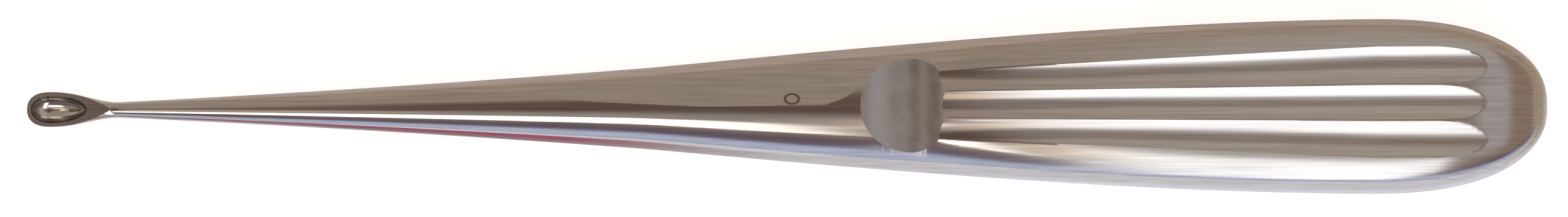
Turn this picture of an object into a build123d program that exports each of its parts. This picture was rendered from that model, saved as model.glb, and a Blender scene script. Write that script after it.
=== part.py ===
from build123d import *
from math import atan, cos, degrees, hypot, pi, sqrt
import os

# A one-piece bone curette, in millimetres. It is shaped along a straight axis, with the tip of the cup
# at distance 0, and then laid down on the flat that is ground along its back.

# Cup: an oval spoon whose rim is flat and a little higher than the top of the neck
cup_width = 3.9
cup_widest = 2.6
cup_wall = 0.42
cup_roundness = 2.4
cup_lateness = 1.15
cavity_length = 6.3

# Neck: round, and the thinnest place of all
neck_distance = 10.2
neck_diameter = 1.72
rim_rise = 0.1
rim_tuck = 0.2

# Shaft: a slightly flared taper that is oval where the handle begins
shaft_length = 58.8
shaft_width = 9.0
shaft_flare = 0.22

# Handle: a flattened oval bar that swells to its full width and ends in a blunt dome
handle_length = 101.0
handle_width = 19.15
handle_thickness = 12.5
handle_swell = 1.75
swell_lateness = 1.06
butt_length = 19.0
butt_side_length = 13.0
butt_roundness = 2.3

# Back: ground flat, so that the curette lies still, with the cup just clear of the ground
flat_depth = 0.3
cup_clearance = 0.05
flat_overrun = 1.0

# Thumb rest: a scoop milled straight across the front face, steeper at its far end
rest_from_shaft = 29.8
rest_depth = 1.45
rest_near_radius = 11.5
rest_far_radius = 6.6

# Flutes: three hollows side by side on the front and on the back, with a narrow ridge between two
flute_from_rest = 2.2
flute_fade = 6.0
flute_depth = 0.45
middle_flute_narrow = 3.0
middle_flute_wide = 4.0
outer_flute_narrow = 2.1
outer_flute_wide = 4.1
ridge_land = 0.2

rim_height = neck_diameter / 2 + rim_rise
cup_height = rim_height - rim_tuck
cup_back = cup_width / 2 - cup_height
shaft_end = neck_distance + shaft_length
overall_length = shaft_end + handle_length
handle_full = overall_length - butt_length
rest_deepest = shaft_end + rest_from_shaft
flute_start = rest_deepest + flute_from_rest
back_slope = (handle_thickness / 2 - flat_depth - cup_back - cup_clearance) / (handle_full - cup_widest)


def dome(share):
    """Blunt half superellipse: 1 at its foot and 0 at its tip."""
    return (1 - share**butt_roundness) ** (1 / butt_roundness)


def flared(distance, at_neck, at_shaft_end):
    """Width or thickness of the shaft between the neck and the handle."""
    share = (distance - neck_distance) / shaft_length
    return at_neck + (at_shaft_end - at_neck) * ((1 - shaft_flare) * share + shaft_flare * share**2)


def butt(distance, dome_length):
    """How much of the full section is left in the butt's dome."""
    return dome(max(distance - overall_length + dome_length, 0) / dome_length)


def width(distance):
    """Full width of the shaft and handle."""
    if distance < shaft_end:
        return flared(distance, neck_diameter, shaft_width)
    swell = min((distance - shaft_end) / (handle_full - shaft_end), 1)
    swollen = 1 - (1 - swell**swell_lateness) ** handle_swell
    return (shaft_width + (handle_width - shaft_width) * swollen) * butt(distance, butt_length)


def back_depth(distance):
    """Depth of the flat back below the axis, in line with the back of the cup."""
    return cup_back + cup_clearance + back_slope * (distance - cup_widest)


def thickness(distance):
    """Full thickness of the shaft and handle: the handle tapers straight along its flat back."""
    if distance < shaft_end:
        return flared(distance, neck_diameter, 2 * (back_depth(shaft_end) + flat_depth))
    straight = back_depth(min(distance, handle_full)) + flat_depth
    return 2 * straight * butt(distance, butt_side_length)


def to_neck(distance):
    """1 where the cup is widest and 0 at the neck."""
    share = max(distance - cup_widest, 0) / (neck_distance - cup_widest)
    return (1 + cos(pi * share**cup_lateness)) / 2


def cup_diameter(distance):
    """Outer diameter of the cup: blunt at the tip and drawn in smoothly to the neck."""
    share = max(1 - distance / cup_widest, 0)
    blunt = cup_width * (1 - share**cup_roundness) ** (1 / cup_roundness)
    return neck_diameter + (blunt - neck_diameter) * to_neck(distance)


def across(distance, height=0):
    """Plane square to the axis: its own x runs across the handle and its own y runs up."""
    return Plane(origin=(distance, 0, height), x_dir=(0, 1, 0), z_dir=(1, 0, 0))


cup_stations = [cup_widest * share for share in (0.05, 0.2, 0.45, 1.0)]
cup_stations += [cup_widest + (neck_distance - cup_widest) * share for share in (0.2, 0.45, 0.7)]
shaft_shares = (0, 0.17, 0.5, 0.76, 1)
handle_shares = (0.11, 0.26, 0.44, 0.62, 0.8, 1)
butt_shares = (0.3, 0.5, 0.68, 0.82, 0.92, 0.975, 0.995)
bar_stations = [neck_distance + shaft_length * share for share in shaft_shares]
bar_stations += [shaft_end + (handle_full - shaft_end) * share for share in handle_shares]
bar_stations += [handle_full + butt_length * share for share in butt_shares]

# Blank: two skins, front and back, through ellipses from the tip of the cup to the butt
with BuildPart() as blank:
    sections = []
    for place in cup_stations + bar_stations:
        in_cup = place < neck_distance
        half_width = (cup_diameter(place) if in_cup else width(place)) / 2
        half_thickness = (cup_diameter(place) if in_cup else thickness(place)) / 2
        with BuildSketch(across(place, cup_height * to_neck(place) if in_cup else 0)) as section:
            with BuildLine():
                EllipticalCenterArc((0, 0), half_width, half_thickness, 0, arc_size=180)
                EllipticalCenterArc((0, 0), half_width, half_thickness, 180, arc_size=180)
            make_face()
        sections.append(section.sketch.face())
    cup_tip = Vertex(0, 0, cup_height)
    butt_tip = Vertex(overall_length, 0, 0)
    loft(sections=[cup_tip, *sections, butt_tip])


def on_oval(distance, offset):
    """Height of the handle's surface above the axis, at an offset across it."""
    return thickness(distance) / 2 * sqrt(max(1 - (2 * offset / width(distance)) ** 2, 0))


def flute_edges(distance, side):
    """The two edges of a flute across the handle: side is -1, 0 or 1."""
    growth = min(max(distance - flute_start, 0) / (handle_full - flute_start), 1)
    middle = middle_flute_narrow + (middle_flute_wide - middle_flute_narrow) * growth
    outer = outer_flute_narrow + (outer_flute_wide - outer_flute_narrow) * growth
    if side == 0:
        return -middle / 2 + ridge_land / 2, middle / 2 - ridge_land / 2
    near = middle / 2 + ridge_land / 2
    return side * near, side * (near + outer)


def flute_circle(distance, side):
    """Centre and radius of the round cutter that passes through a flute's two edges."""
    first, second = flute_edges(distance, side)
    rise = on_oval(distance, second) - on_oval(distance, first)
    chord = hypot(second - first, rise)
    radius = chord**2 / (8 * flute_depth) + flute_depth / 2
    out = radius - flute_depth
    toward = 1 if second > first else -1
    centre_y = (first + second) / 2 - toward * out * rise / chord
    centre_z = (on_oval(distance, first) + on_oval(distance, second)) / 2 + out * abs(second - first) / chord
    return centre_y, centre_z, radius


# Each cutter comes in from above, follows the handle and runs out over the butt's dome
run_out = overall_length - butt_side_length
cutter_shares = (0, 0.33, 0.67, 1)
cutter_stations = [flute_start + (run_out - flute_start) * share for share in cutter_shares]
cutter_end = overall_length - flute_depth
cutters = []
for side in (-1, 0, 1):
    with BuildPart() as cutter:
        rings = []
        first_y, first_z, first_radius = flute_circle(flute_start, side)
        with BuildSketch(across(flute_start - flute_fade)) as ring:
            with Locations((first_y, first_z + 2 * flute_depth)):
                Circle(first_radius)
        rings.append(ring.sketch.face())
        for station in cutter_stations:
            centre_y, centre_z, radius = flute_circle(station, side)
            with BuildSketch(across(station)) as ring:
                with Locations((centre_y, centre_z)):
                    Circle(radius)
            rings.append(ring.sketch.face())
        with BuildSketch(across(cutter_end)) as ring:
            with Locations((centre_y, centre_z)):
                Circle(radius)
        rings.append(ring.sketch.face())
        loft(sections=rings)
    cutters.append(cutter.part)

# Scoop of the thumb rest: two arcs that meet at its lowest line
scoop_floor = thickness(rest_deepest) / 2 - rest_depth
scoop_top = scoop_floor + rest_near_radius
with BuildPart() as scoop:
    with BuildSketch(Plane.XZ):
        with BuildLine():
            near_slope = CenterArc((rest_deepest, scoop_top), rest_near_radius, 180, 90)
            far_wall = CenterArc((rest_deepest, scoop_floor + rest_far_radius), rest_far_radius, 270, 90)
            Polyline(far_wall @ 1, (rest_deepest + rest_far_radius, scoop_top), near_slope @ 0)
        make_face()
    extrude(amount=handle_width, both=True)

# Cavity of the cup: a round-bottomed egg, widest where the cup is widest
cavity_radius = cup_width / 2 - cup_wall
front_length = cup_widest - cup_wall
back_length = cavity_length - front_length
cavity_height = rim_height + rim_rise
with BuildPart() as cavity:
    hollows = []
    for share in (-0.95, -0.7, -0.35, 0, 0.3, 0.6, 0.85, 0.97):
        station = cup_widest + share * (front_length if share < 0 else back_length)
        with BuildSketch(across(station, cavity_height)) as hollow:
            Circle(cavity_radius * sqrt(1 - share**2))
        hollows.append(hollow.sketch.face())
    front_tip = Vertex(cup_wall, 0, cavity_height)
    back_tip = Vertex(cup_wall + cavity_length, 0, cavity_height)
    loft(sections=[front_tip, *hollows, back_tip])

# Everything below the flat back, from the shaft to past the butt
flat_end = overall_length + flat_overrun
with BuildPart() as below_back:
    with BuildSketch(Plane.XZ):
        with BuildLine():
            Polyline(
                (neck_distance, -back_depth(neck_distance)),
                (flat_end, -back_depth(flat_end)),
                (flat_end, -handle_thickness),
                (neck_distance, -handle_thickness),
                close=True,
            )
        make_face()
    extrude(amount=handle_width, both=True)

with BuildPart() as upright:
    add(blank.part)
    add(below_back.part, mode=Mode.SUBTRACT)
    for cutter_part in cutters:
        mirror(cutter_part, about=Plane.XY, mode=Mode.SUBTRACT)
    for cutter_part in cutters:
        add(cutter_part, mode=Mode.SUBTRACT)
    add(scoop.part, mode=Mode.SUBTRACT)
    with BuildSketch(Plane.XY.offset(rim_height)):
        with Locations((neck_distance / 2, 0)):
            Rectangle(neck_distance, 2 * cup_width)
    extrude(amount=cup_width, mode=Mode.SUBTRACT)
    add(cavity.part, mode=Mode.SUBTRACT)

# Lying down: the axis is tilted until the back is level. The origin is on the ground, midway along.
lie_angle = degrees(atan(back_slope))
tilted = upright.part.rotate(Axis.Y, -lie_angle)
ends = tilted.bounding_box()
ground = -back_depth(0) * cos(lie_angle * pi / 180)
with BuildPart() as curette:
    with Locations((-(ends.min.X + ends.max.X) / 2, 0, -ground)):
        add(tilted)

os.makedirs("parts", exist_ok=True)
curette.part.label = "curette"
export_step(curette.part, "parts/curette.step")
print("lies at", round(lie_angle, 3), "degrees, box", curette.part.bounding_box())
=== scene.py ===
# %% [markdown]
# # A bone curette in satin steel
#
# The real tool is one bar of stainless steel. It is forged, milled, ground and brushed, so nothing on it
# is screwed or glued. It could be made with subdivision surfaces and boolean cuts, but a long shiny bar
# shows every ripple of such a mesh in its reflections. So its surface is worked out from formulas: an oval
# that changes along a straight axis, cut by a scoop, by a facet, by flutes and by a small egg-shaped
# hollow.

# %% Load the fixed frame
import math

import bpy
import numpy as np
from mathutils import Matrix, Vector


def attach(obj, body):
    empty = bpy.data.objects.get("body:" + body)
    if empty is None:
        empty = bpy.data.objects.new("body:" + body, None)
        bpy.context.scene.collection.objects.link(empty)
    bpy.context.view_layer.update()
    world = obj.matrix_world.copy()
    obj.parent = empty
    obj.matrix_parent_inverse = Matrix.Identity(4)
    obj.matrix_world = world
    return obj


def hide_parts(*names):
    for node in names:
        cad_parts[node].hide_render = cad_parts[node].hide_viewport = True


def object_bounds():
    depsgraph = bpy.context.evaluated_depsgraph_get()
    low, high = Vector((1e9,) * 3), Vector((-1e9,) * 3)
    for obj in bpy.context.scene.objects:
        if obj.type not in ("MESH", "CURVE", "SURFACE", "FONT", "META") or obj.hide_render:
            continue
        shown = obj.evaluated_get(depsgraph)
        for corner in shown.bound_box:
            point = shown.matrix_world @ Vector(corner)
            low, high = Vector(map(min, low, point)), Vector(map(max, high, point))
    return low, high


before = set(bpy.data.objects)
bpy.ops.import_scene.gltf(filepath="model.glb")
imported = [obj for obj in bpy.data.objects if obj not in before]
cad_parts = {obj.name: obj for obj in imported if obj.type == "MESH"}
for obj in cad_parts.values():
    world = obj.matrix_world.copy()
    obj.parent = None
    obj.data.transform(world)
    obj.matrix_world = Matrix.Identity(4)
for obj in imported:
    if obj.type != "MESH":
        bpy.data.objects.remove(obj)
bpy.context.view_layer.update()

# %% [markdown]
# ## The sizes
#
# All sizes are in millimetres. Places along the tool are distances on its own axis, from the tip of the
# cup. They could be typed in where they are used, but a size with a name is set once, and everything that
# needs it follows. These are the sizes of the bar, and each cut brings its own.

# %% Name the sizes of the bar
TOTAL = 170.0
CUP_WIDTH = 3.9
CUP_WIDEST = 2.6
CUP_HEIGHT = 0.76
CUP_ROUNDNESS = 2.4
CUP_LATENESS = 1.15
NECK = 10.2
NECK_DIAMETER = 1.72
SHAFT_END = 69.0
SHAFT_WIDTH = 9.0
SHAFT_FLARE = 0.22
BUTT_LENGTH = 19.0
BUTT_SIDE_LENGTH = 13.0
BUTT_ROUNDNESS = 2.3
HANDLE_FULL = TOTAL - BUTT_LENGTH
HANDLE_WIDTH = 19.15
HANDLE_THICKNESS = 12.5
HANDLE_SWELL = 1.75
SWELL_LATENESS = 1.06
HANDLE_SQUARENESS = 5.0
SQUARENESS_EASE = 1.6
FLUTE_START = 101.0
FLAT_DEPTH = 0.3
CUP_CLEARANCE = 0.05
BACK_TOP = CUP_WIDTH / 2 - CUP_HEIGHT + CUP_CLEARANCE
BACK_SLOPE = (HANDLE_THICKNESS / 2 - FLAT_DEPTH - BACK_TOP) / (HANDLE_FULL - CUP_WIDEST)
print("the back slopes", round(math.degrees(math.atan(BACK_SLOPE)), 3), "degrees")

# %% [markdown]
# ## The oval bar
#
# The tool is a forged bar that is thin at the neck, swells to the handle and ends in a blunt dome. The
# shaft is a plain oval. From where the flutes start, the handle gets flatter on its faces and fuller at
# its shoulders. A curve object with a bevel could carry such a bar, but its section would keep one shape
# all along, so the section is worked out afresh at each distance.

# %% Work out the oval
def dome(share, roundness):
    """Blunt half superellipse: 1 at its foot and 0 at its tip."""
    return (1 - np.clip(share, 0, 1) ** roundness) ** (1 / roundness)


def back_depth(d):
    """Depth of the flat back below the axis."""
    return BACK_TOP + BACK_SLOPE * (d - CUP_WIDEST)


def flared(d, at_neck, at_shaft_end):
    """Width or thickness of the shaft, between the neck and the handle."""
    share = np.clip((d - NECK) / (SHAFT_END - NECK), 0, 1)
    return at_neck + (at_shaft_end - at_neck) * ((1 - SHAFT_FLARE) * share + SHAFT_FLARE * share**2)


def bar_width(d):
    """Full width of the shaft and handle."""
    swell = np.clip((d - SHAFT_END) / (HANDLE_FULL - SHAFT_END), 0, 1)
    swollen = 1 - (1 - swell**SWELL_LATENESS) ** HANDLE_SWELL
    handle = SHAFT_WIDTH + (HANDLE_WIDTH - SHAFT_WIDTH) * swollen
    wide = np.where(d < SHAFT_END, flared(d, NECK_DIAMETER, SHAFT_WIDTH), handle)
    return wide * dome((d - TOTAL + BUTT_LENGTH) / BUTT_LENGTH, BUTT_ROUNDNESS)


def bar_thickness(d):
    """Full thickness of the shaft and handle: the handle tapers straight along its flat back."""
    at_shaft_end = 2 * (back_depth(SHAFT_END) + FLAT_DEPTH)
    handle = 2 * (back_depth(np.minimum(d, HANDLE_FULL)) + FLAT_DEPTH)
    thick = np.where(d < SHAFT_END, flared(d, NECK_DIAMETER, at_shaft_end), handle)
    return thick * dome((d - TOTAL + BUTT_SIDE_LENGTH) / BUTT_SIDE_LENGTH, BUTT_ROUNDNESS)


def oval(d):
    """Half width, half height, height of the middle, and squareness of the bar at each distance."""
    to_neck = np.clip((d - CUP_WIDEST) / (NECK - CUP_WIDEST), 0, 1)
    cup_share = (1 + np.cos(np.pi * to_neck**CUP_LATENESS)) / 2
    blunt = CUP_WIDTH * dome(1 - d / CUP_WIDEST, CUP_ROUNDNESS)
    cup = NECK_DIAMETER + (blunt - NECK_DIAMETER) * cup_share
    in_cup = d < NECK
    half_wide = np.where(in_cup, cup, bar_width(d)) / 2
    half_thick = np.where(in_cup, cup, bar_thickness(d)) / 2
    middle = np.where(in_cup, CUP_HEIGHT * cup_share, 0)
    oval_left = np.clip((HANDLE_FULL - d) / (HANDLE_FULL - FLUTE_START), 0, 1)
    squareness = 2 + (HANDLE_SQUARENESS - 2) * (1 - oval_left**SQUARENESS_EASE)
    return half_wide, half_thick, middle, squareness


def on_oval(d, y):
    """Height of the bare bar above its axis, at an offset across it."""
    wide, thick, _, squareness = oval(d)
    return thick * (1 - np.clip(np.abs(y) / wide, 0, 1) ** squareness) ** (1 / squareness)


print("half width and height where the flutes start:", [round(float(v), 2) for v in oval(FLUTE_START)[:2]])

# %% [markdown]
# ## The thumb rest
#
# The thumb rest is a scoop, milled across the front of the handle. A boolean modifier could cut it, but
# it would leave long thin faces that show in the sheen. So this cut and the next ones are heights instead:
# each says how high the steel may stand at a place. Where a cut doesn't reach, its height is far up.

# %% Cut the thumb rest
FAR = 50.0
REST_DEEPEST = 98.8
REST_DEPTH = 1.45
REST_NEAR_RADIUS = 11.5
REST_FAR_RADIUS = 6.6


def scoop_height(d):
    """The thumb rest: two round slopes that meet at its lowest line."""
    floor = float(oval(REST_DEEPEST)[1]) - REST_DEPTH
    off = d - REST_DEEPEST
    radius = np.where(off < 0, REST_NEAR_RADIUS, REST_FAR_RADIUS)
    rise = radius - np.sqrt(np.maximum(radius**2 - off**2, 0))
    return np.where(np.abs(off) < radius, floor + rise, FAR)


print("thumb rest floor above the axis:", round(float(scoop_height(REST_DEEPEST)), 2))

# %% [markdown]
# ## The facet
#
# Ahead of the thumb rest a shallow flat is ground beside the crest of the bar. It fades in along the shaft
# and ends at the thumb rest. It is so slight that a bump in the material could fake it, but its long edge
# bends the highlight, so it is cut as well.

# %% Grind the facet
FACET_START = 60.0
FACET_FULL = 76.0
FACET_LAST = 89.5
FACET_END = 93.0
FACET_DEPTH = 0.26
FACET_MIDDLE = 1.95
FACET_SPAN = 0.3


def facet_height(d, y):
    """A plane along the slope of the bar beside its crest, sunk into it."""
    wide = oval(d)[0]
    middle = FACET_MIDDLE / float(oval(FACET_LAST)[0]) * wide
    step = FACET_SPAN * wide
    slope = (on_oval(d, middle + step) - on_oval(d, middle - step)) / (2 * step)
    strength = np.clip((d - FACET_START) / (FACET_FULL - FACET_START), 0, 1)
    strength = np.minimum(strength, np.clip((FACET_END - d) / (FACET_END - FACET_LAST), 0, 1))
    ground = on_oval(d, middle) - FACET_DEPTH * strength + slope * (y - middle)
    return np.where(strength > 0, ground, FAR)


sunk = on_oval(FACET_FULL, FACET_MIDDLE) - facet_height(FACET_FULL, FACET_MIDDLE)
print("facet sunk by", round(float(sunk), 2), "mm")

# %% [markdown]
# ## The cup's hollow
#
# The cup is cut level at its rim and hollowed like a spoon. Two scaled balls could be subtracted, but a
# height keeps the rim's points in the same grid as the rest: each section of the hollow is round, and its
# middle is a little above the rim.

# %% Hollow the cup
CUP_WALL = 0.42
RIM_HEIGHT = 0.96
CAVITY_LENGTH = 6.3
CAVITY_HEIGHT = 1.06
HOLLOW_RADIUS = CUP_WIDTH / 2 - CUP_WALL


def hollow_height(d, y):
    """The bottom of the hollow. Outside it, the height rises above the rim."""
    front = CUP_WIDEST - CUP_WALL
    share = (d - CUP_WIDEST) / np.where(d < CUP_WIDEST, front, CAVITY_LENGTH - front)
    reach = HOLLOW_RADIUS**2 * (1 - share**2) - y**2
    return CAVITY_HEIGHT - np.where(reach > 0, np.sqrt(np.maximum(reach, 0)), reach)


print("hollow below the rim:", round(RIM_HEIGHT - float(hollow_height(CUP_WIDEST, 0.0)), 2), "mm")

# %% [markdown]
# ## The flutes
#
# Three long hollows on each face keep the handle from turning in the hand. They widen with the handle,
# and a narrow ridge stands between two. One gutter could be modelled and copied, but each flute has to
# follow its own part of the oval. So a round cutter is laid through the two edges of a flute at every
# distance. It cuts less deep where the flute is narrow, much as a real cutter does.

# %% Cut the flutes
FLUTE_FADE = 6.0
FLUTE_DEPTH = 0.45
FLUTE_THINNING = 1.6
FLUTE_RUN_OUT = TOTAL - BUTT_SIDE_LENGTH
MIDDLE_FLUTE = (3.0, 4.0)
OUTER_FLUTE = (2.1, 4.1)
RIDGE_LAND = 0.2


def flute_edges(d):
    """Distances from the middle line: the middle flute's edge, and the outer flute's two edges."""
    growth = np.clip((d - FLUTE_START) / (HANDLE_FULL - FLUTE_START), 0, 1)
    middle = MIDDLE_FLUTE[0] + (MIDDLE_FLUTE[1] - MIDDLE_FLUTE[0]) * growth
    outer = OUTER_FLUTE[0] + (OUTER_FLUTE[1] - OUTER_FLUTE[0]) * growth
    near = middle / 2 + RIDGE_LAND / 2
    return middle / 2 - RIDGE_LAND / 2, near, near + outer


def flute_height(d, y, side):
    """One flute: a round cutter through the flute's two edges, lifted out ahead of its start."""
    held = np.clip(d, FLUTE_START, FLUTE_RUN_OUT)
    middle, near, far = flute_edges(held)
    first, second = (-middle, middle) if side == 0 else (near, far)
    low, high = on_oval(held, first), on_oval(held, second)
    chord = np.hypot(second - first, high - low)
    widest = MIDDLE_FLUTE[1] - RIDGE_LAND if side == 0 else OUTER_FLUTE[1]
    depth = FLUTE_DEPTH * ((second - first) / widest) ** FLUTE_THINNING
    radius = chord**2 / (8 * depth) + depth / 2
    out = radius - depth
    centre_y = (first + second) / 2 - out * (high - low) / chord
    centre_z = (low + high) / 2 + out * (second - first) / chord
    lift = 2 * FLUTE_DEPTH * np.clip((FLUTE_START - d) / FLUTE_FADE, 0, 1)
    beside = y - centre_y if side == 0 else side * y - centre_y
    height = centre_z + lift - np.sqrt(np.maximum(radius**2 - beside**2, 0))
    return np.where((np.abs(beside) < radius) & (d > FLUTE_START - FLUTE_FADE), height, FAR)


print("flute edges in mm at the butt:", [round(float(edge), 2) for edge in flute_edges(HANDLE_FULL)])

# %% [markdown]
# ## All cuts together
#
# A cutter takes away all the steel above its path, so of several cuts the lowest one is left. A stack of
# heights says the same, and the place of the lowest in the stack tells later which cut made a face. On the
# back the same is done with depths, with a flat in place of the thumb rest.

# %% Stack the heights
FLAT = 1
HOLLOW = 3


def heights(d, angle):
    """All the heights (or depths, on the back) at a place, and the offset across the bar."""
    wide, thick, middle, squareness = oval(d)
    y = wide * np.cos(angle)
    front = np.sin(angle) >= 0
    bare = thick * np.maximum(1 - np.abs(np.cos(angle)) ** squareness, 0) ** (1 / squareness)
    back = np.where(d > NECK, back_depth(d), FAR)
    return np.stack([
        np.where(front, middle, -middle) + bare,
        np.where(front, scoop_height(d), back),
        np.where(front & (d < NECK), RIM_HEIGHT, FAR),
        np.where(front, hollow_height(d, y), FAR),
        np.where(front, facet_height(d, y), FAR),
        *(flute_height(d, y, side) for side in (-1, 0, 1)),
    ]), y


in_cup, _ = heights(CUP_WIDEST, np.pi / 2)
print("heights in the stack:", len(in_cup), "and the lowest in the cup is number", int(in_cup.argmin()))

# %% [markdown]
# ## The grid
#
# The surface needs points where its shape turns. An even grid could be used, but it would spend them on
# the plain shaft. Here the rings are close together at both ends, in the cup and in the thumb rest. Round
# each ring the points keep to the ridges between the flutes, so that a ridge is one clean line from the
# thumb rest to the butt.

# %% Lay out rings and columns
def spread(start, end, count, ease=0.0):
    """Numbers from start up to end, drawn towards both by ease."""
    share = np.arange(count) / count
    eased = (1 - np.cos(np.pi * share)) / 2
    return start + (end - start) * ((1 - ease) * share + ease * eased)


FINE_START = 88.0
FINE_END = 104.5
COLUMN_COUNTS = (16, 12, 2, 14, 2, 12, 16)
COLUMN_EASE = 0.6
quarter_turn = np.linspace(0, np.pi / 2, 41)[1:-1]
ring_places = np.concatenate([
    CUP_WIDEST * (1 - np.cos(quarter_turn) ** (2 / CUP_ROUNDNESS)),
    spread(CUP_WIDEST, NECK, 80),
    spread(NECK, SHAFT_END, 60),
    spread(SHAFT_END, FINE_START, 22),
    spread(FINE_START, FINE_END, 120),
    spread(FINE_END, FLUTE_RUN_OUT, 52),
    FLUTE_RUN_OUT + BUTT_SIDE_LENGTH * np.sin(spread(0, np.pi / 2, 60)) ** (2 / BUTT_ROUNDNESS),
])
held = np.clip(ring_places, FLUTE_START, FLUTE_RUN_OUT)
edge_angles = [np.arccos(edge / oval(held)[0]) for edge in reversed(flute_edges(held))]
far_angles = [np.pi - a for a in reversed(edge_angles)]
corners = [np.zeros_like(held), *edge_angles, *far_angles, np.full_like(held, np.pi)]
half_ring = []
for start, end, count in zip(corners[:-1], corners[1:], COLUMN_COUNTS):
    part = spread(start[:, None], end[:, None], count, COLUMN_EASE if count > 2 else 0)
    half_ring.append(np.broadcast_to(part, (len(held), count)))
half_ring = np.concatenate(half_ring, axis=1)
ring_angles = np.concatenate([half_ring, half_ring + np.pi], axis=1)
ring_distances = np.repeat(ring_places[:, None], ring_angles.shape[1], axis=1)
print("rings and columns:", ring_angles.shape)

# %% [markdown]
# ## Crisp edges
#
# Where two cuts meet, the real tool has an edge. It runs across the grid at a slant and would come out as
# a staircase. A finer grid would only make the stairs smaller. So each grid line that crosses an edge gets
# its nearer point moved onto it, and cells that the edge cuts from corner to corner are later split along
# it. The edges stay as sharp as a boolean cut would leave them.

# %% Move points onto the edges
HALVINGS = 18
SAME_HEIGHT = 1e-5


def crossing(d0, a0, d1, a1, first, second):
    """Share of the way along each grid line where cut `first` gives way to cut `second`."""
    low, high = np.zeros_like(d0), np.ones_like(d0)
    pick = np.arange(len(d0))
    for _ in range(HALVINGS):
        share = (low + high) / 2
        levels, _y = heights(d0 + (d1 - d0) * share, a0 + (a1 - a0) * share)
        before = levels[first, pick] < levels[second, pick]
        low, high = np.where(before, share, low), np.where(before, high, share)
    return (low + high) / 2


def snap(distances, angles):
    """Moves the nearer point of each crossed grid line onto the edge. Says which points lie on an edge."""
    levels, _y = heights(distances, angles)
    winner = levels.argmin(axis=0)
    rings, columns = distances.shape
    ring, column = np.mgrid[0:rings, 0:columns]
    found = []
    for step_ring, step_column in ((1, 0), (0, 1)):
        r0, c0 = ring[:rings - step_ring].ravel(), column[:rings - step_ring].ravel()
        r1, c1 = r0 + step_ring, (c0 + step_column) % columns
        first, second = winner[r0, c0], winner[r1, c1]
        wrap = np.where((c1 == 0) & (step_column == 1), 2 * np.pi, 0)
        here = levels[second, r0, c0] - levels[first, r0, c0]
        there = levels[first, r1, c1] - levels[second, r1, c1]
        crossed = (first != second) & (here > SAME_HEIGHT) & (there > SAME_HEIGHT)
        r0, c0, r1, c1 = (v[crossed] for v in (r0, c0, r1, c1))
        first, second, wrap = first[crossed], second[crossed], wrap[crossed]
        d0, a0, d1, a1 = distances[r0, c0], angles[r0, c0], distances[r1, c1], angles[r1, c1] + wrap
        share = crossing(d0, a0, d1, a1, first, second)
        nearer = share < 0.5
        found.append(np.stack([
            np.where(nearer, share, 1 - share),
            np.where(nearer, r0, r1), np.where(nearer, c0, c1),
            d0 + (d1 - d0) * share, a0 + (a1 - a0) * share,
        ]))
    found = np.concatenate(found, axis=1)
    found = found[:, np.argsort(-found[0])]
    rows, cols = found[1].astype(int), found[2].astype(int)
    moved_d, moved_a = distances.copy(), angles.copy()
    moved_d[rows, cols], moved_a[rows, cols] = found[3], found[4]
    on_edge = np.zeros(distances.shape, bool)
    on_edge[rows, cols] = True
    return moved_d, moved_a, on_edge


ring_distances, ring_angles, on_edge = snap(ring_distances, ring_angles)
print("points moved onto edges:", int(on_edge.sum()))

# %% [markdown]
# ## The mesh
#
# The bar was worked out level on its axis, but it rests on its ground back. The object could be turned,
# but then its own axes would no longer be the frame's. So the points themselves are turned by the slope
# of the back, and set so that the middle of the length is over the origin, as the solid is.

# %% Build the mesh
SHARP_ANGLE = 24


def lay_down(points):
    """From the tool's own axis, in millimetres, to the shared frame, in metres."""
    lie = math.atan(BACK_SLOPE)
    x = points[:, 0] * math.cos(lie) - points[:, 2] * math.sin(lie)
    z = points[:, 0] * math.sin(lie) + points[:, 2] * math.cos(lie)
    x = x - (x.min() + x.max()) / 2
    return np.stack([x, points[:, 1], z - z.min()], axis=1) / 1000


levels, across = heights(ring_distances, ring_angles)
lowest = levels.min(axis=0)
upright = np.where(np.sin(ring_angles) >= 0, lowest, -lowest)
grid = np.stack([ring_distances, across, upright], axis=2).reshape(-1, 3)
rings, columns = ring_distances.shape
points = np.concatenate([grid, [[0, 0, CUP_HEIGHT], [TOTAL, 0, 0]]])
tip, end = len(points) - 2, len(points) - 1

faces = []
for r in range(rings - 1):
    for c in range(columns):
        n = (c + 1) % columns
        a, b, e, f = r * columns + c, (r + 1) * columns + c, (r + 1) * columns + n, r * columns + n
        one = on_edge[r, c] and on_edge[r + 1, n]
        two = on_edge[r + 1, c] and on_edge[r, n]
        if one and not two:
            faces += [(a, b, e), (a, e, f)]
        elif two and not one:
            faces += [(a, b, f), (b, e, f)]
        else:
            faces.append((a, b, e, f))
for c in range(columns):
    n = (c + 1) % columns
    faces.append((tip, c, n))
    faces.append((end, (rings - 1) * columns + n, (rings - 1) * columns + c))

mesh = bpy.data.meshes.new("curette_steel")
mesh.from_pydata(lay_down(points).tolist(), [], faces)
mesh.update()
mesh.shade_smooth()
mesh.set_sharp_from_angle(angle=math.radians(SHARP_ANGLE))
curette = bpy.data.objects.new("curette_steel", mesh)
bpy.context.scene.collection.objects.link(curette)
print("faces:", len(mesh.polygons), "triangles:", sum(len(p.vertices) - 2 for p in mesh.polygons))
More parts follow.
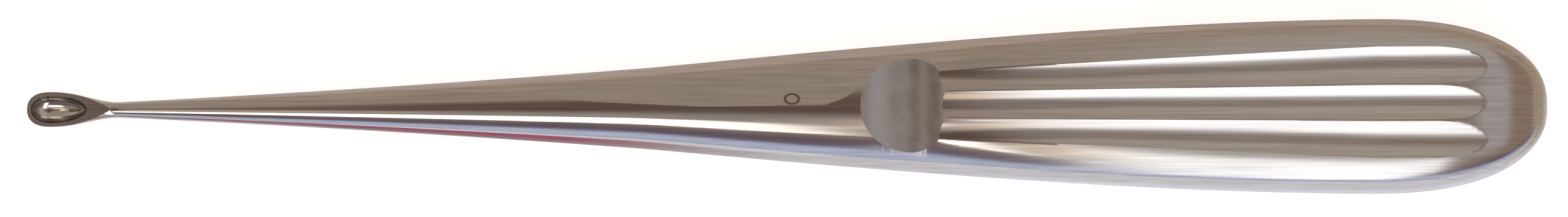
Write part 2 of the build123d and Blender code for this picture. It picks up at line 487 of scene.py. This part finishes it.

# %% [markdown]
# ## Finishes
#
# The whole tool is the same steel. Most of it is brushed to a satin sheen along its length. The thumb
# rest is blasted with fine beads, and the hollow of the cup is smooth from its grinding. Its colour is
# also darker there, which is painted shade in the hollow. One material with painted masks could do all
# three. Three materials are plainer, because the stack of heights already says which cut each face
# belongs to.

# %% Find which finish each face has
SATIN, BLASTED, POLISHED_AND_SHADED = 0, 1, 2
corner_lists = [[v for v in p.vertices if v < tip] for p in mesh.polygons]
flat_d, flat_a = ring_distances.ravel(), ring_angles.ravel()
face_d = np.array([flat_d[c].mean() for c in corner_lists])
face_y = np.array([across.ravel()[c].mean() for c in corner_lists])
face_front = np.array([upright.ravel()[c].mean() > 0 for c in corner_lists])
face_angles = np.arccos(np.clip(face_y / oval(face_d)[0], -1, 1))
face_cuts = heights(face_d, np.where(face_front, face_angles, 2 * np.pi - face_angles))[0].argmin(axis=0)
kinds = np.where(face_cuts == HOLLOW, POLISHED_AND_SHADED, np.where((face_cuts == FLAT) & face_front, BLASTED, SATIN))
mesh.polygons.foreach_set("material_index", kinds.astype(np.int32))
print("faces of each finish:", np.bincount(kinds).tolist())

# %% [markdown]
# ## Grain
#
# Brushing leaves long fine lines, and blasting leaves fine pits. A scanned image would carry them, but it
# shows its repeats on a long tool. Noise that is stretched along the tool makes the lines, and the same
# noise without the stretch makes the pits. All three finishes use it, so it is one node group.

# %% Make a node group for brushed grain
def new_group(name, inputs, outputs):
    group = bpy.data.node_groups.new(name, "ShaderNodeTree")
    for label, kind, value in inputs:
        socket = group.interface.new_socket(label, in_out="INPUT", socket_type=kind)
        socket.default_value = value
    for label, kind in outputs:
        group.interface.new_socket(label, in_out="OUTPUT", socket_type=kind)
    return group, group.nodes.new("NodeGroupInput"), group.nodes.new("NodeGroupOutput")


grain, grain_in, grain_out = new_group(
    "grain",
    [("Stretch", "NodeSocketVector", (60.0, 4000.0, 4000.0)), ("Contrast", "NodeSocketFloat", 0.5)],
    [("Fine", "NodeSocketFloat"), ("Broad", "NodeSocketFloat")],
)
place = grain.nodes.new("ShaderNodeTexCoord")
scaled = grain.nodes.new("ShaderNodeVectorMath")
scaled.operation = "MULTIPLY"
grain.links.new(place.outputs["Object"], scaled.inputs[0])
grain.links.new(grain_in.outputs["Stretch"], scaled.inputs[1])
fine = grain.nodes.new("ShaderNodeTexNoise")
fine.inputs["Scale"].default_value = 1.0
fine.inputs["Detail"].default_value = 3.0
grain.links.new(scaled.outputs[0], fine.inputs["Vector"])
broad = grain.nodes.new("ShaderNodeTexNoise")
broad.inputs["Scale"].default_value = 0.12
broad.inputs["Detail"].default_value = 2.0
grain.links.new(scaled.outputs[0], broad.inputs["Vector"])
for noise, label in ((fine, "Fine"), (broad, "Broad")):
    centred = grain.nodes.new("ShaderNodeMath")
    centred.operation = "SUBTRACT"
    centred.inputs[1].default_value = 0.5
    grain.links.new(noise.outputs[0], centred.inputs[0])
    strength = grain.nodes.new("ShaderNodeMath")
    strength.operation = "MULTIPLY"
    grain.links.new(centred.outputs[0], strength.inputs[0])
    grain.links.new(grain_in.outputs["Contrast"], strength.inputs[1])
    grain.links.new(strength.outputs[0], grain_out.inputs[label])
print("grain group sockets:", [s.name for s in grain.interface.items_tree])

# %% [markdown]
# ## The three steels
#
# Bare steel has its colour in its reflections, so it is fully metallic. The grain shifts its colour, its
# roughness and its surface a little. The steel in the cup's hollow has a darker colour, which is painted
# shade in the hollow. One roughness all over would be simpler, but the satin gets coarser along the
# handle and softens the highlights there, so the roughness rises behind the thumb rest.

# %% Make the three steels
ROUGHER_FROM = 0.02
ROUGHER_TO = 0.05
ROUGHNESS_SHIFT = 0.25
LINE_DARKNESS = 0.6
LINE_SHARE = 0.25


def steel(name, colour, roughness, handle_roughness, stretch, contrast, bump, depth):
    """Steel whose grain changes its colour, its roughness and its surface a little."""
    material = bpy.data.materials.new(name)
    material.use_nodes = True
    nodes, links = material.node_tree.nodes, material.node_tree.links
    shader = nodes["Principled BSDF"]
    shader.inputs["Metallic"].default_value = 1.0
    lines = nodes.new("ShaderNodeGroup")
    lines.node_tree = grain
    lines.inputs["Stretch"].default_value = stretch
    lines.inputs["Contrast"].default_value = contrast
    rough = nodes.new("ShaderNodeMath")
    rough.operation = "MULTIPLY_ADD"
    rough.inputs[1].default_value = ROUGHNESS_SHIFT
    links.new(lines.outputs["Broad"], rough.inputs[0])
    spot = nodes.new("ShaderNodeTexCoord")
    along = nodes.new("ShaderNodeSeparateXYZ")
    links.new(spot.outputs["Object"], along.inputs[0])
    coarser = nodes.new("ShaderNodeMapRange")
    coarser.interpolation_type = "SMOOTHSTEP"
    coarser.inputs["From Min"].default_value = ROUGHER_FROM
    coarser.inputs["From Max"].default_value = ROUGHER_TO
    coarser.inputs["To Min"].default_value = roughness
    coarser.inputs["To Max"].default_value = handle_roughness
    links.new(along.outputs["X"], coarser.inputs["Value"])
    links.new(coarser.outputs[0], rough.inputs[2])
    links.new(rough.outputs[0], shader.inputs["Roughness"])
    tint = nodes.new("ShaderNodeMix")
    tint.data_type = "RGBA"
    tint.inputs["A"].default_value = (*colour, 1)
    tint.inputs["B"].default_value = (*(LINE_DARKNESS * c for c in colour), 1)
    even = nodes.new("ShaderNodeMath")
    even.operation = "ADD"
    even.inputs[1].default_value = LINE_SHARE
    links.new(lines.outputs["Fine"], even.inputs[0])
    links.new(even.outputs[0], tint.inputs["Factor"])
    links.new(tint.outputs["Result"], shader.inputs["Base Color"])
    relief = nodes.new("ShaderNodeBump")
    relief.inputs["Strength"].default_value = bump
    relief.inputs["Distance"].default_value = depth
    links.new(lines.outputs["Fine"], relief.inputs["Height"])
    links.new(relief.outputs["Normal"], shader.inputs["Normal"])
    return material


satin = steel(
    "satin_steel", (0.70, 0.67, 0.64), roughness=0.1, handle_roughness=0.19,
    stretch=(70.0, 4200.0, 900.0), contrast=1.3, bump=0.25, depth=0.000004,
)
blasted = steel(
    "blasted_steel", (0.62, 0.62, 0.63), roughness=0.3, handle_roughness=0.3,
    stretch=(5200.0, 5200.0, 5200.0), contrast=0.8, bump=0.22, depth=0.000006,
)
# The hollow's steel is darker than the rest: its colour is painted shade in the hollow of the cup.
polished_and_shaded = steel(
    "polished_and_shaded_steel", (0.45, 0.41, 0.38), roughness=0.2, handle_roughness=0.2,
    stretch=(2600.0, 2600.0, 2600.0), contrast=0.4, bump=0.12, depth=0.000004,
)
for material in (satin, blasted, polished_and_shaded):
    mesh.materials.append(material)
print("finishes:", [m.name for m in mesh.materials])

# %% [markdown]
# ## The size number
#
# A small nought is stamped on the facet, ahead of the thumb rest. Only its darker line shows, so it isn't
# cut. It could be a picture laid on as a decal, but an oval ring is easily worked out from the distance to
# its middle. The satin steel is darker there, on the front face alone.

# %% Stamp the size number
DIGIT_PLACE = (0.00078, 0.00072)
DIGIT_HALF = (0.00078, 0.00055)
DIGIT_STROKE = 0.2
DIGIT_FLOOR = 0.004
DIGIT_COLOUR = (0.26, 0.21, 0.18)
nodes, links = satin.node_tree.nodes, satin.node_tree.links
place = nodes.new("ShaderNodeTexCoord")
centred = nodes.new("ShaderNodeVectorMath")
centred.operation = "SUBTRACT"
centred.inputs[1].default_value = (*DIGIT_PLACE, 0)
links.new(place.outputs["Object"], centred.inputs[0])
rounded = nodes.new("ShaderNodeVectorMath")
rounded.operation = "MULTIPLY"
rounded.inputs[1].default_value = (1 / DIGIT_HALF[0], 1 / DIGIT_HALF[1], 0)
links.new(centred.outputs[0], rounded.inputs[0])
ring = nodes.new("ShaderNodeVectorMath")
ring.operation = "LENGTH"
links.new(rounded.outputs[0], ring.inputs[0])
on_ring = nodes.new("ShaderNodeMath")
on_ring.operation = "COMPARE"
on_ring.inputs[1].default_value = 1.0
on_ring.inputs[2].default_value = DIGIT_STROKE
links.new(ring.outputs["Value"], on_ring.inputs[0])
height_parts = nodes.new("ShaderNodeSeparateXYZ")
links.new(place.outputs["Object"], height_parts.inputs[0])
on_front = nodes.new("ShaderNodeMath")
on_front.operation = "GREATER_THAN"
on_front.inputs[1].default_value = DIGIT_FLOOR
links.new(height_parts.outputs["Z"], on_front.inputs[0])
stamped = nodes.new("ShaderNodeMath")
stamped.operation = "MULTIPLY"
links.new(on_ring.outputs[0], stamped.inputs[0])
links.new(on_front.outputs[0], stamped.inputs[1])
darker = nodes.new("ShaderNodeMix")
darker.data_type = "RGBA"
darker.inputs["B"].default_value = (*DIGIT_COLOUR, 1)
shader = nodes["Principled BSDF"]
links.new(shader.inputs["Base Color"].links[0].from_socket, darker.inputs["A"])
links.new(stamped.outputs[0], darker.inputs["Factor"])
links.new(darker.outputs["Result"], shader.inputs["Base Color"])
print("digit in mm:", [round(2000 * half, 2) for half in DIGIT_HALF])

# %% [markdown]
# ## Ties to the frame
#
# The dressed piece rides on the tool's one body and takes the place of the plain solid, which stays in the
# model for collisions. Both share one frame, so nothing has to be moved.

# %% Let the piece stand for the solid
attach(curette, "root")
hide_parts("curette")
low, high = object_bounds()
print("dressed box in mm:", [round(1000 * v, 2) for v in (*low, *high)])

# %% [markdown]
# ## The table
#
# The tool lies on a table that reaches far beyond the picture. A plane could be added and scaled, but the
# cards over the tool are flat sheets too, so one helper makes them all. The corners of a sheet are in
# millimetres, like the tool's sizes.

# %% Lay the table
def level(left, right, near, far, height):
    """The four corners of a level sheet, in millimetres."""
    return [(left, near, height), (right, near, height), (right, far, height), (left, far, height)]


def sheet(name, corners_mm):
    """A flat sheet with its corners in millimetres."""
    flat = bpy.data.meshes.new(name)
    corners_m = [tuple(v / 1000 for v in corner) for corner in corners_mm]
    flat.from_pydata(corners_m, [], [tuple(range(len(corners_m)))])
    made = bpy.data.objects.new(name, flat)
    bpy.context.scene.collection.objects.link(made)
    return made


TABLE_REACH = 1500.0
table = sheet("table", level(-TABLE_REACH, TABLE_REACH, -TABLE_REACH, TABLE_REACH, 0))
print("table laid, reach in mm:", TABLE_REACH)

# %% [markdown]
# ## The paper
#
# The table is covered with white paper, on which the tool's soft shadow stays. More light would make it
# white as well, but it would burn out the steel. So the paper glows a little where the camera sees it. In
# reflections it glows in a colour instead, pale blue on the near side and brown on the far side, because
# steel that mirrors plain white has no edge on white paper.

# %% Cover the table with paper
PAPER_GLOW = 0.72
NEAR_GLOW = (0.35, 0.39, 0.47)
FAR_GLOW = (0.09, 0.03, 0.0)
GLOW_BLEND = 0.01
paper = bpy.data.materials.new("paper")
paper.use_nodes = True
nodes, links = paper.node_tree.nodes, paper.node_tree.links
paper_shader = nodes["Principled BSDF"]
paper_shader.inputs["Roughness"].default_value = 0.9
paper_shader.inputs["Specular IOR Level"].default_value = 0.0
paths = nodes.new("ShaderNodeLightPath")
seen = nodes.new("ShaderNodeMath")
seen.operation = "MAXIMUM"
links.new(paths.outputs["Is Camera Ray"], seen.inputs[0])
links.new(paths.outputs["Is Transmission Ray"], seen.inputs[1])
paper_shader.inputs["Base Color"].default_value = (0.8, 0.8, 0.8, 1)
spot = nodes.new("ShaderNodeNewGeometry")
spot_parts = nodes.new("ShaderNodeSeparateXYZ")
links.new(spot.outputs["Position"], spot_parts.inputs[0])
side = nodes.new("ShaderNodeMapRange")
side.inputs["From Min"].default_value = -GLOW_BLEND
side.inputs["From Max"].default_value = GLOW_BLEND
links.new(spot_parts.outputs["Y"], side.inputs["Value"])
cast = nodes.new("ShaderNodeMix")
cast.data_type = "RGBA"
cast.inputs["A"].default_value = (*NEAR_GLOW, 1)
cast.inputs["B"].default_value = (*FAR_GLOW, 1)
links.new(side.outputs[0], cast.inputs["Factor"])
glow_colour = nodes.new("ShaderNodeMix")
glow_colour.data_type = "RGBA"
glow_colour.inputs["B"].default_value = (PAPER_GLOW, PAPER_GLOW, PAPER_GLOW, 1)
links.new(cast.outputs["Result"], glow_colour.inputs["A"])
links.new(seen.outputs[0], glow_colour.inputs["Factor"])
shows = nodes.new("ShaderNodeMath")
shows.operation = "MAXIMUM"
links.new(seen.outputs[0], shows.inputs[0])
links.new(paths.outputs["Is Glossy Ray"], shows.inputs[1])
links.new(glow_colour.outputs["Result"], paper_shader.inputs["Emission Color"])
links.new(shows.outputs[0], paper_shader.inputs["Emission Strength"])
table.data.materials.append(paper)
print("paper glows with", PAPER_GLOW, "where the camera sees it")

# %% [markdown]
# ## Cards
#
# Polished steel shows nothing but the room it is in, so the room is part of the picture. Small lamps would
# leave small spots on it. A photographer hangs large sheets instead: bright soft boxes whose mirror images
# are the long highlights, and coloured flags whose mirror images are the shades between them. Each card is
# a glowing sheet that the camera can't see, and its edges fade so that a highlight does too.

# %% Make a glowing card
def card(name, corners_mm, colour, strength, fade):
    """A glowing sheet that the camera never sees. In x and y it fades out over a share of its length."""
    made = sheet(name, corners_mm)
    glowing = bpy.data.materials.new(name)
    glowing.use_nodes = True
    tree = glowing.node_tree
    tree.nodes.clear()
    out = tree.nodes.new("ShaderNodeOutputMaterial")
    emit = tree.nodes.new("ShaderNodeEmission")
    emit.inputs["Color"].default_value = (*colour, 1)
    emit.inputs["Strength"].default_value = strength
    place = tree.nodes.new("ShaderNodeTexCoord")
    axes = tree.nodes.new("ShaderNodeSeparateXYZ")
    tree.links.new(place.outputs["Generated"], axes.inputs[0])
    clear = tree.nodes.new("ShaderNodeBsdfTransparent")
    both = tree.nodes.new("ShaderNodeMath")
    both.operation = "MULTIPLY"
    both.inputs[0].default_value = both.inputs[1].default_value = 1.0
    for slot, (axis, width) in enumerate(zip("XY", fade)):
        if width:
            rise = tree.nodes.new("ShaderNodeMath")
            rise.operation = "PINGPONG"
            rise.inputs[1].default_value = 0.5
            tree.links.new(axes.outputs[axis], rise.inputs[0])
            soften = tree.nodes.new("ShaderNodeMapRange")
            soften.interpolation_type = "SMOOTHSTEP"
            soften.inputs["From Max"].default_value = width
            tree.links.new(rise.outputs[0], soften.inputs["Value"])
            tree.links.new(soften.outputs[0], both.inputs[slot])
    blend = tree.nodes.new("ShaderNodeMixShader")
    tree.links.new(both.outputs[0], blend.inputs[0])
    tree.links.new(clear.outputs[0], blend.inputs[1])
    tree.links.new(emit.outputs[0], blend.inputs[2])
    tree.links.new(blend.outputs[0], out.inputs["Surface"])
    made.data.materials.append(glowing)
    made.visible_camera = False
    made.visible_shadow = False
    return made


print("cards hang unseen")

# %% [markdown]
# ## The soft boxes
#
# A photographer could light the tool with one long box, but the highlight on the shaft is a narrow streak
# and those on the handle are broad. So a wide box hangs on the near side of the handle, and a narrow one
# beside the shaft. A low sheet carries the wide box on, farther from the tool, where the steep side of the
# handle mirrors it. A strip of gold between the two boxes warms the gleams next to the thumb rest.

# %% Hang the soft boxes
HANG = 350.0
WHITE = (0.97, 1.0, 1.05)
CREAM = (1.0, 0.96, 0.9)
GOLD = (1.0, 0.68, 0.4)
WIDE_STRENGTH = 1.85
NARROW_STRENGTH = 2.4


def slanted(near_left, near_right, far_right, far_left, height):
    """The four corners of a level sheet whose sides slant, in millimetres."""
    return [(x, y, height) for x, y in (near_left, near_right, far_right, far_left)]


wide_corners = level(-24, 130, -58, -420, HANG)
low_corners = slanted((-24, -250), (130, -250), (130, -1150), (-90, -1150), HANG + 2)
narrow_corners = slanted((-260, -160), (-40, -150), (-40, -280), (-260, -300), HANG)
gold_corners = slanted((-36, -80), (-4, -78), (-4, -230), (-36, -200), HANG - 5)
card("soft_box_wide", wide_corners, WHITE, WIDE_STRENGTH, (0.13, 0.2))
card("soft_box_low", low_corners, WHITE, WIDE_STRENGTH, (0.0, 0.07))
card("soft_box_narrow", narrow_corners, CREAM, NARROW_STRENGTH, (0.1, 0.12))
card("gold_edge", gold_corners, GOLD, 1.0, (0.3, 0.2))
print("soft boxes hang at", HANG, "mm")

# %% [markdown]
# ## The flags and the walls
#
# Steel under soft boxes alone looks flat, and its dark shades have to come from something dark. The flags
# over the tool are those shades: they show in reflections and don't light the paper. The walls hang past
# the ends of the tool, where the slopes of the thumb rest, the cup and the butt mirror them. Three sheets
# lie low round the tool, for the steel that leans down.

# %% Hang the flags, the walls and the low sheets
HIGH = 1000.0
for name, corners_mm, colour, fade in (
    ("dark_flag", level(-165, 16, -130, 200, HANG + 20), (0.15, 0.1, 0.078), (0.3, 0.35)),
    ("brown_flag", level(-360, 20, 30, 700, HANG + 40), (0.4, 0.33, 0.27), (0.15, 0.1)),
    ("cup_flag", level(-230, -66, -70, 100, HANG + 40), (0.25, 0.2, 0.175), (0.15, 0.2)),
    ("far_flag", level(-3000, -700, -300, 600, HIGH), (0.2, 0.13, 0.09), (0.0, 0.1)),
    ("high_flag", level(-70, 420, -120, 320, HIGH), (0.29, 0.22, 0.175), (0.12, 0.2)),
):
    card(name, corners_mm, colour, 1.0, fade).visible_diffuse = False
for name, corners_mm, colour, fade in (
    ("warm_wall", level(-620, -250, -300, 300, HIGH), (1.25, 0.9, 0.62), (0.2, 0.1)),
    ("cool_wall", level(250, 1100, -400, 600, HIGH + 10), (0.48, 0.46, 0.45), (0.25, 0.3)),
    ("brown_wall", level(800, 6000, -900, 1200, HIGH + 15), (0.34, 0.24, 0.18), (0.05, 0.2)),
    ("grey_sheet", level(-130, 10, -3, -28, 0.05), (0.38, 0.29, 0.3), (0.3, 0.1)),
    ("beige_sheet", level(86, 300, -60, 160, 0.05), (0.5, 0.4, 0.28), (0.1, 0.3)),
    ("rose_sheet", level(-85, -8, -6, -30, 0.1), (0.5, 0.13, 0.22), (0.3, 0.2)),
):
    card(name, corners_mm, colour, 1.0, fade)

# %% [markdown]
# ## The room
#
# Behind the cards there is still a room. A picture of a real one could be wrapped round the tool, but for
# a long bar a ramp of colours round its axis does as well. From straight below, at -180 degrees, it goes
# up the near side to straight above, at 0, and down the far side. Low on the near side it is pale blue,
# then dark, then grey overhead, and brown on the far side. The camera sees white.

# %% Colour the room
room = bpy.data.worlds.new("room")
bpy.context.scene.world = room
room.use_nodes = True
nodes, links = room.node_tree.nodes, room.node_tree.links
nodes.clear()
toward = nodes.new("ShaderNodeTexCoord")
parts = nodes.new("ShaderNodeSeparateXYZ")
links.new(toward.outputs["Generated"], parts.inputs[0])
lean = nodes.new("ShaderNodeMath")
lean.operation = "ARCTAN2"
links.new(parts.outputs["Y"], lean.inputs[0])
links.new(parts.outputs["Z"], lean.inputs[1])
share = nodes.new("ShaderNodeMath")
share.operation = "MULTIPLY_ADD"
share.inputs[1].default_value = 1 / (2 * math.pi)
share.inputs[2].default_value = 0.5
links.new(lean.outputs[0], share.inputs[0])
ramp = nodes.new("ShaderNodeValToRGB")
ROOM_STOPS = (
    (-180, (0.5, 0.5, 0.5)), (-90, (0.5, 0.56, 0.72)), (-80, (0.6, 0.68, 0.9)),
    (-70, (0.56, 0.62, 0.85)), (-62, (0.2, 0.17, 0.24)), (-54, (0.16, 0.12, 0.16)),
    (-38, (0.3, 0.22, 0.17)), (-12, (0.44, 0.41, 0.39)), (4, (0.5, 0.48, 0.46)),
    (30, (0.5, 0.45, 0.4)), (62, (0.45, 0.36, 0.28)), (110, (0.42, 0.33, 0.25)),
    (180, (0.5, 0.5, 0.5)),
)
ramp.color_ramp.elements[0].position = 0.0
ramp.color_ramp.elements[1].position = 1.0
while len(ramp.color_ramp.elements) < len(ROOM_STOPS):
    ramp.color_ramp.elements.new(0.5)
for element, (angle, colour) in zip(ramp.color_ramp.elements, ROOM_STOPS):
    element.position = angle / 360 + 0.5
    element.color = (*colour, 1)
links.new(share.outputs[0], ramp.inputs[0])
air = nodes.new("ShaderNodeBackground")
links.new(ramp.outputs[0], air.inputs["Color"])
backdrop = nodes.new("ShaderNodeBackground")
paths = nodes.new("ShaderNodeLightPath")
shown = nodes.new("ShaderNodeMixShader")
links.new(paths.outputs["Is Camera Ray"], shown.inputs[0])
links.new(air.outputs[0], shown.inputs[1])
links.new(backdrop.outputs[0], shown.inputs[2])
backdrop.inputs["Color"].default_value = (1, 1, 1, 1)
world_out = nodes.new("ShaderNodeOutputWorld")
links.new(shown.outputs[0], world_out.inputs["Surface"])
print("room stops:", len(ramp.color_ramp.elements))

# %% [markdown]
# ## Camera
#
# The picture is taken from almost straight above, leaning a little to the near side. A camera without
# perspective could take it, but a photograph always has some. A long lens keeps it small, so that the low
# cup and the high butt are at nearly the same scale.

# %% Place the camera
FRAME_WIDTH = 0.17495
CAMERA_REACH = 0.8
ELEVATION = math.radians(85.4)
target = np.array([-0.0001, -0.0002, 0.006])
camera_data = bpy.data.cameras.new("camera")
camera_data.sensor_width = 36.0
camera_data.lens = camera_data.sensor_width * CAMERA_REACH / FRAME_WIDTH
camera = bpy.data.objects.new("camera", camera_data)
bpy.context.scene.collection.objects.link(camera)
camera.location = target + CAMERA_REACH * np.array([0, -math.cos(ELEVATION), math.sin(ELEVATION)])
camera.rotation_euler = (math.pi / 2 - ELEVATION, 0, 0)
bpy.context.scene.camera = camera
bpy.context.scene.view_settings.view_transform = "Standard"
print("lens:", round(camera_data.lens, 1), "mm")
